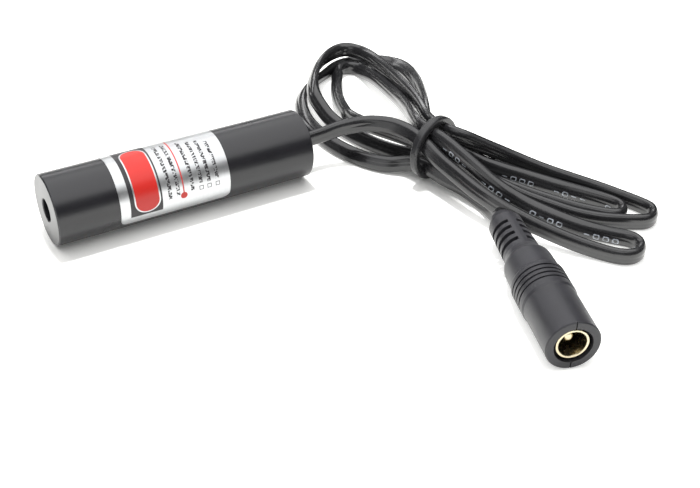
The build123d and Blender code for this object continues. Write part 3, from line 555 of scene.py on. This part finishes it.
class LASER_OT_rear(Operator):
    """Finish the rear cap, its rubber bush and the lead's stripped end"""
    bl_idname = "laser_module.rear"
    bl_label = "Rear end"

    def execute(self, context):
        cap = surface("rear_cap_moulding", (0.016, 0.016, 0.017), 0.48, grains=9.0, depth=0.008, tone=0.15, rub=0.12)
        rubber = surface("bush_rubber", (0.012, 0.012, 0.012), 0.62, grains=8.0, depth=0.02, tone=0.25)
        jacket = surface("stripped_jacket", context.scene.laser_cord.jacket, 0.42, grains=8.0, depth=0.01)
        red = surface("red_core", (0.55, 0.02, 0.015), 0.4, grains=6.0, depth=0.008, tone=0.12)
        black = surface("black_core", (0.02, 0.02, 0.021), 0.4, grains=6.0, depth=0.008, tone=0.2)
        for node, material, slot in (
                ("rear_cap", cap, "moulded_black"), ("cable_bush", rubber, "bush_rubber"),
                ("cable_jacket_end", jacket, "cord_jacket"), ("positive_core", red, "red_core"),
                ("negative_core", black, "black_core")):
            finish(node, material)
        return {"FINISHED"}


# The lead

def heading_vector(degrees):
    return Vector((math.cos(math.radians(degrees)), math.sin(math.radians(degrees)), 0.0))


def waist_point(slot, offset):
    """A strand's place (across, up) in the tied waist, at an offset along the waist's heading."""
    ahead = heading_vector(WAIST_HEADING)
    across = Vector((-ahead.y, ahead.x, 0.0))
    return WAIST_CENTRE + ahead * offset + across * slot[0] + Vector((0.0, 0.0, slot[1]))


def lead_route():
    """Control points of the whole lead in metres, from the barrel to the socket, and the lean at each."""
    points = [Vector(p) for p in LEAD_POINTS]
    leans = list(LEAD_LEANS)
    for number, slots in enumerate(WAIST_PASSES):
        heading, fold_leans, measures = FOLDS[number] if number < len(FOLDS) else (0, TAIL_LEANS[:1], [])
        direction = 1 - 2 * (number % 2)
        start, end = leans[-1], fold_leans[0]
        for slot, offset, lean in zip(slots, (-WAIST_REACH, 0.0, WAIST_REACH), (start, (start + end) / 2, end)):
            points.append(waist_point(slot, direction * offset))
            leans.append(lean)
        ahead = heading_vector(heading)
        aside = Vector((-ahead.y, ahead.x, 0.0))
        for step, (forward, sideways, height) in enumerate(measures, 1):
            place = WAIST_CENTRE + ahead * forward + aside * sideways
            points.append(Vector((place.x, place.y, height)))
            share = step / len(measures) * (len(fold_leans) - 1)
            low = min(int(share), max(len(fold_leans) - 2, 0))
            high = min(low + 1, len(fold_leans) - 1)
            leans.append(fold_leans[low] + (fold_leans[high] - fold_leans[low]) * (share - low))
    points += [Vector(p) for p in TAIL_POINTS]
    leans += TAIL_LEANS
    return [p * MM for p in points], leans


def smooth_line(points, steps):
    """Points along a smooth spline whose control points are given, read from its own curve."""
    curve = bpy.data.curves.new("lead_line", "CURVE")
    curve.dimensions = "3D"
    curve.resolution_u = steps
    spline = curve.splines.new("NURBS")
    spline.points.add(len(points) - 1)
    for point, place in zip(spline.points, points):
        point.co = (*place, 1.0)
    spline.order_u = 3
    spline.use_endpoint_u = True
    holder = bpy.data.objects.new("lead_line", curve)
    mesh = bpy.data.meshes.new_from_object(holder)
    line = [v.co.copy() for v in mesh.vertices]
    bpy.data.objects.remove(holder)
    bpy.data.curves.remove(curve)
    bpy.data.meshes.remove(mesh)
    return line


def lead_section(given):
    """Outline of the flat lead as (aside, up) in metres: a flattened round, a shallow groove each side, ribs on top."""
    half_thickness, half_width = given.thickness / 2, given.width / 2
    power = 2 / given.squareness
    outline = []
    for angle in sorted([*range(0, 360, 12), *GROOVE_ANGLES, *RIB_SHARES]):
        turn = math.radians(angle)
        across, tall = math.cos(turn), math.sin(turn)
        rib = given.rib * RIB_SHARES.get(angle, 0.0)
        aside = math.copysign(half_thickness * abs(across) ** power, across) + rib * across
        up = math.copysign(half_width * abs(tall) ** power, tall) + rib * tall
        aside -= math.copysign(given.groove * math.exp(-(up / GROOVE_SPREAD) ** 2), across)
        outline.append((aside, up))
    return outline


def girth_along(outline):
    """Distance round the outline at each of its points and back at its first, in millimetres."""
    girth = [0.0]
    for first, second in zip(outline, outline[1:] + outline[:1]):
        girth.append(girth[-1] + math.dist(first, second) / MM)
    return girth


def sweep_lead(line, leans, outline):
    """Mesh of the lead along its line, long side up apart from its lean, with its unrolled place in a UV map."""
    ahead = []
    for i in range(len(line)):
        step = line[min(i + 1, len(line) - 1)] - line[max(i - 1, 0)]
        ahead.append(step.normalized())
    mesh = bmesh.new()
    layer = mesh.loops.layers.uv.new("Unrolled")
    rings, run = [], [0.0]
    for i, (place, way, lean) in enumerate(zip(line, ahead, leans)):
        side = way.cross(Vector((0.0, 0.0, 1.0))).normalized()
        turn = Matrix.Rotation(math.radians(lean.x), 3, way)
        side, up = turn @ side, turn @ side.cross(way)
        rings.append([mesh.verts.new(place + side * a + up * b) for a, b in outline])
        if i:
            run.append(run[-1] + (place - line[i - 1]).length)
    girth = girth_along(outline)
    count = len(outline)
    for i in range(len(rings) - 1):
        for j in range(count):
            k = (j + 1) % count
            face = mesh.faces.new((rings[i][j], rings[i][k], rings[i + 1][k], rings[i + 1][j]))
            face.smooth = True
            corners = ((girth[j], run[i]), (girth[j + 1], run[i]), (girth[j + 1], run[i + 1]), (girth[j], run[i + 1]))
            for loop, (u, v) in zip(face.loops, corners):
                loop[layer].uv = (u, v / MM)
    mesh.faces.new(reversed(rings[0]))
    mesh.faces.new(rings[-1])
    bmesh.ops.recalc_face_normals(mesh, faces=mesh.faces)
    data = bpy.data.meshes.new("flat_lead")
    mesh.to_mesh(data)
    mesh.free()
    return data, run[-1]


def jacket_material(given):
    """Soft black jacket with draw lines along it and broken pale marks on one face."""
    material, tree, shader, place = start_material("lead_jacket")
    rolled = add(tree, "ShaderNodeUVMap", uv_map="Unrolled").outputs[0]
    parts = add(tree, "ShaderNodeSeparateXYZ", {0: rolled}).outputs
    around, along = parts["X"], parts["Y"]
    grain = use(tree, shared("grain"), {"Vector": place, "Grains per mm": 7.0, "Cloud size mm": 9.0})
    line_place = add(tree, "ShaderNodeCombineXYZ", {0: calc(tree, "MULTIPLY", around, 5.0),
                                                    1: calc(tree, "MULTIPLY", along, 0.05), 2: 0.0}).outputs[0]
    lines = add(tree, "ShaderNodeTexNoise", {"Vector": line_place, "Scale": 1.0, "Detail": 3.0}).outputs["Fac"]
    jacket = list(given.jacket)
    shade = blend_colour(tree, grain["Tone"], [c * 0.8 for c in jacket] + [1.0], [c * 1.4 for c in jacket] + [1.0])

    outline = lead_section(given)
    groove = girth_along(outline)[outline.index(min(outline, key=lambda p: (p[0] > 0, abs(p[1]))))]

    def field(place_along, half_width, half_length, corner, **more):
        return use(tree, shared("field"), {
            "U": around, "V": place_along, "Centre U": groove + MARK_ROW, "Centre V": 0.0,
            "Half width": half_width, "Half height": half_length, "Corner": corner, **more})["Mask"]

    band = field(0.0, 0.62, 1.0, 0.1)
    cell = calc(tree, "DIVIDE", along, MARK_PITCH)
    number = calc(tree, "FLOOR", cell)
    across = calc(tree, "MULTIPLY", calc(tree, "SUBTRACT", calc(tree, "FRACT", cell), 0.5), MARK_PITCH)
    chance = add(tree, "ShaderNodeTexWhiteNoise", {"W": number}, noise_dimensions="1D").outputs["Value"]
    outer, inner, bar = (field(across, *shape, Softness=0.12) for shape in (
        (0.6, 0.72, 0.42), (0.36, 0.46, 0.26), (0.13, 0.6, 0.1)))
    hoop = calc(tree, "SUBTRACT", outer, inner, clamp=True)
    open_hoop = calc(tree, "MULTIPLY", calc(tree, "GREATER_THAN", chance, DASH_SHARE), hoop)
    dash = calc(tree, "MULTIPLY", calc(tree, "LESS_THAN", chance, DASH_SHARE), bar)
    group_wave = calc(tree, "FRACT", calc(tree, "DIVIDE", along, MARK_GROUP))
    shown = calc(tree, "LESS_THAN", group_wave, GROUP_FILL)
    stretches = [calc(tree, "MULTIPLY", calc(tree, "GREATER_THAN", along, low), calc(tree, "LESS_THAN", along, high))
                 for low, high in MARKED_STRETCHES]
    shown = calc(tree, "MULTIPLY", shown, calc(tree, "MAXIMUM", *stretches))
    faded = add(tree, "ShaderNodeTexNoise", {"Vector": place, "Scale": 900.0, "Detail": 2.0}).outputs["Fac"]
    marks = calc(tree, "MULTIPLY", calc(tree, "MAXIMUM", open_hoop, dash), band)
    marks = calc(tree, "MULTIPLY", calc(tree, "MULTIPLY", marks, shown), spread(tree, faded, 0.35, 0.6, 0.35, 0.9))
    shade = blend_colour(tree, marks, shade, list(given.marks) + [1.0])
    dust = use(tree, shared("dust"), {"Vector": place, "Speck size": 0.045})["Mask"]
    shade = blend_colour(tree, calc(tree, "MULTIPLY", dust, 0.25), shade, (0.30, 0.29, 0.28, 1.0))
    tree.links.new(shade, shader.inputs["Base Color"])
    tree.links.new(spread(tree, calc(tree, "ADD", lines, grain["Tone"]), 0.5, 1.4, 0.17, 0.25),
                   shader.inputs["Roughness"])
    shader.inputs["Specular IOR Level"].default_value = 0.75
    bump(tree, shader, calc(tree, "ADD", lines, calc(tree, "MULTIPLY", grain["Height"], 0.4)), 0.003, 0.4)
    return material


class LASER_OT_lead(Operator):
    """Build the flat lead along its smooth line, from the barrel through the tied hank to the socket"""
    bl_idname = "laser_module.lead"
    bl_label = "Flat lead"

    def execute(self, context):
        given = context.scene.laser_cord
        points, leans = lead_route()
        line = smooth_line(points, given.steps)
        leans = smooth_line([Vector((lean, 0.0, 0.0)) for lean in leans], given.steps)
        data, length = sweep_lead(line, leans, lead_section(given))
        lead = bpy.data.objects.new("flat_lead", data)
        context.scene.collection.objects.link(lead)
        finish(lead, jacket_material(given))
        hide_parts("cable_lead", "cable_hank", "cable_tail")
        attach(lead, "root")
        print("lead length", round(length, 4))
        return {"FINISHED"}


class LASER_OT_tie(Operator):
    """Finish the ring that ties the hank"""
    bl_idname = "laser_module.tie"
    bl_label = "Tie"

    def execute(self, context):
        rubber = surface("tie_rubber", (0.016, 0.016, 0.0175), 0.27, grains=6.0, depth=0.012, tone=0.2, dust=0.03)
        finish("tie_band", rubber)
        return {"FINISHED"}


class LASER_OT_socket(Operator):
    """Finish the moulded in-line socket and its contacts"""
    bl_idname = "laser_module.socket"
    bl_label = "In-line socket"

    def execute(self, context):
        moulding = surface("socket_moulding", (0.020, 0.0197, 0.0235), 0.44, grains=11.0, depth=0.012, tone=0.15,
                           rub=0.14, rub_and_highlight_colour=(0.07, 0.07, 0.075), dust=0.03, cloud=5.0)
        plated = surface("plated_contact", (0.60, 0.53, 0.37), 0.26, metallic=1.0, grains=7.0, depth=0.003,
                         tone=0.12, rub=0.08, rub_and_highlight_colour=(0.80, 0.72, 0.52))
        insulator = surface("socket_insulator_black", (0.015, 0.015, 0.016), 0.5, grains=8.0, depth=0.01)
        for node, material, slot in (
                ("socket_housing", moulding, "socket_moulding"), ("socket_shell_contact", plated, "plated_contact"),
                ("socket_insulator", insulator, "moulded_black"), ("socket_pin", plated, "plated_contact"),
                ("socket_leaf_contact", plated, "plated_contact")):
            finish(node, material)
        return {"FINISHED"}


# Stage

def floor_material(given):
    """Pale floor that keeps the object's shadow and reads as white to the camera."""
    material, tree, shader, place = start_material("pale_floor")
    cloud = add(tree, "ShaderNodeTexNoise", {"Vector": place, "Scale": 30.0, "Detail": 3.0}).outputs["Fac"]
    low = [c * 0.99 for c in given.floor] + [1.0]
    high = [min(1.0, c * 1.01) for c in given.floor] + [1.0]
    tree.links.new(blend_colour(tree, cloud, low, high), shader.inputs["Base Color"])
    shader.inputs["Roughness"].default_value = 0.9
    shader.inputs["Specular IOR Level"].default_value = 0.1
    rays = add(tree, "ShaderNodeLightPath").outputs
    seen = calc(tree, "MAXIMUM", rays["Is Camera Ray"],
                calc(tree, "MAXIMUM", rays["Is Glossy Ray"], rays["Is Transmission Ray"]))
    parts = add(tree, "ShaderNodeSeparateXYZ", {0: place}).outputs
    # Behind, to the right of and in front of the barrel the floor glows more, so that no shadow shows there
    clear = calc(tree, "MAXIMUM", spread(tree, parts["Y"], -0.004, 0.012), spread(tree, parts["X"], 0.056, 0.070))
    clear = calc(tree, "MAXIMUM", clear, spread(tree, parts["Y"], -0.026, -0.044))
    away = add(tree, "ShaderNodeVectorMath", {0: place}, operation="LENGTH").outputs["Value"]
    lift = calc(tree, "ADD", spread(tree, clear, 0.0, 1.0, 0.05, 0.45), spread(tree, away, 0.25, 0.8))
    glow = add(tree, "ShaderNodeEmission", {0: (1.0, 1.0, 0.99, 1.0), 1: calc(tree, "MULTIPLY", seen, lift)})
    both = add(tree, "ShaderNodeAddShader", {0: shader.outputs[0], 1: glow.outputs[0]})
    tree.links.new(both.outputs[0], tree.nodes["Material Output"].inputs[0])
    return material


def area_light(name, power, size, place, aim, size_y=None):
    """Soft lamp at a place, aimed at a point."""
    lamp = bpy.data.lights.new(name, "AREA")
    lamp.energy = power
    lamp.shape = "RECTANGLE"
    lamp.size = size
    lamp.size_y = size_y or size
    obj = bpy.data.objects.new(name, lamp)
    obj.location = place
    obj.rotation_euler = (Vector(aim) - Vector(place)).to_track_quat("-Z", "Y").to_euler()
    bpy.context.scene.collection.objects.link(obj)
    return obj


class LASER_OT_stage(Operator):
    """Set out the floor, the soft lights, the world and the camera"""
    bl_idname = "laser_module.stage"
    bl_label = "Stage"

    def execute(self, context):
        given = context.scene.laser_stage
        scene = context.scene
        scene.view_settings.view_transform = "Standard"
        mesh = bmesh.new()
        bmesh.ops.create_grid(mesh, x_segments=2, y_segments=2, size=3.0)
        data = bpy.data.meshes.new("floor")
        mesh.to_mesh(data)
        mesh.free()
        floor = bpy.data.objects.new("floor", data)
        scene.collection.objects.link(floor)
        data.materials.append(floor_material(given))

        world = bpy.data.worlds.new("pale_world")
        world.use_nodes = True
        tree = world.node_tree
        rays = add(tree, "ShaderNodeLightPath").outputs
        seen = calc(tree, "MAXIMUM", rays["Is Camera Ray"], rays["Is Transmission Ray"])
        strength = calc(tree, "ADD", calc(tree, "MULTIPLY", seen, 1.0 - given.world_strength), given.world_strength)
        back = tree.nodes["Background"]
        back.inputs[0].default_value = (0.98, 0.99, 1.0, 1.0)
        tree.links.new(strength, back.inputs[1])
        scene.world = world

        key = area_light("key_behind", given.key_power, 0.05, (0.03, 0.085, 0.62), (0.0, 0.0, 0.0))
        key.visible_glossy = False
        area_light("box_overhead", given.box_power, 1.2, (0.0, 0.0, 0.70), (0.0, 0.0, 0.0), size_y=1.6)
        area_light("strip_behind", 1.7, 1.1, (0.10, 0.80, 0.38), (0.02, 0.0, 0.0), size_y=0.09)
        area_light("fill_left", 0.6, 0.45, (-0.55, -0.15, 0.22), (0.0, 0.0, 0.01))

        lens = bpy.data.cameras.new("camera")
        lens.lens = given.lens
        lens.sensor_width = SENSOR_WIDTH
        lens.clip_start = 0.01
        camera = bpy.data.objects.new("camera", lens)
        turn = (Matrix.Rotation(-given.heading, 4, "Z") @ Matrix.Rotation(math.pi / 2 - given.dip, 4, "X")
                @ Matrix.Rotation(given.roll, 4, "Z"))
        camera.matrix_world = Matrix.Translation(CAMERA_PLACE) @ turn
        scene.collection.objects.link(camera)
        scene.camera = camera
        return {"FINISHED"}


class LASER_PT_panel(Panel):
    """Lists the module's pieces and settings"""
    bl_idname = "LASER_PT_panel"
    bl_label = "Laser Module"
    bl_space_type = "VIEW_3D"
    bl_region_type = "UI"
    bl_category = "Laser Module"

    def draw(self, context):
        layout = self.layout
        for title, group in (("Barrel", context.scene.laser_barrel), ("Lead", context.scene.laser_cord),
                             ("Stage", context.scene.laser_stage)):
            box = layout.box()
            box.label(text=title)
            for name in group.__annotations__:
                box.prop(group, name)
        column = layout.column(align=True)
        for piece in PIECES:
            column.operator(piece.bl_idname)


SETTINGS = {"laser_barrel": BarrelSettings, "laser_cord": CordSettings, "laser_stage": StageSettings}
PIECES = (LASER_OT_barrel, LASER_OT_label, LASER_OT_optics, LASER_OT_driver, LASER_OT_rear, LASER_OT_lead,
          LASER_OT_tie, LASER_OT_socket, LASER_OT_stage)


def register():
    for cls in (*SETTINGS.values(), *PIECES, LASER_PT_panel):
        bpy.utils.register_class(cls)
    for name, cls in SETTINGS.items():
        setattr(bpy.types.Scene, name, PointerProperty(type=cls))


def unregister():
    for name in SETTINGS:
        delattr(bpy.types.Scene, name)
    for cls in reversed((*SETTINGS.values(), *PIECES, LASER_PT_panel)):
        bpy.utils.unregister_class(cls)


def main():
    register()
    for piece in PIECES:
        group, name = piece.bl_idname.split(".")
        getattr(getattr(bpy.ops, group), name)()


if __name__ == "__main__":
    main()
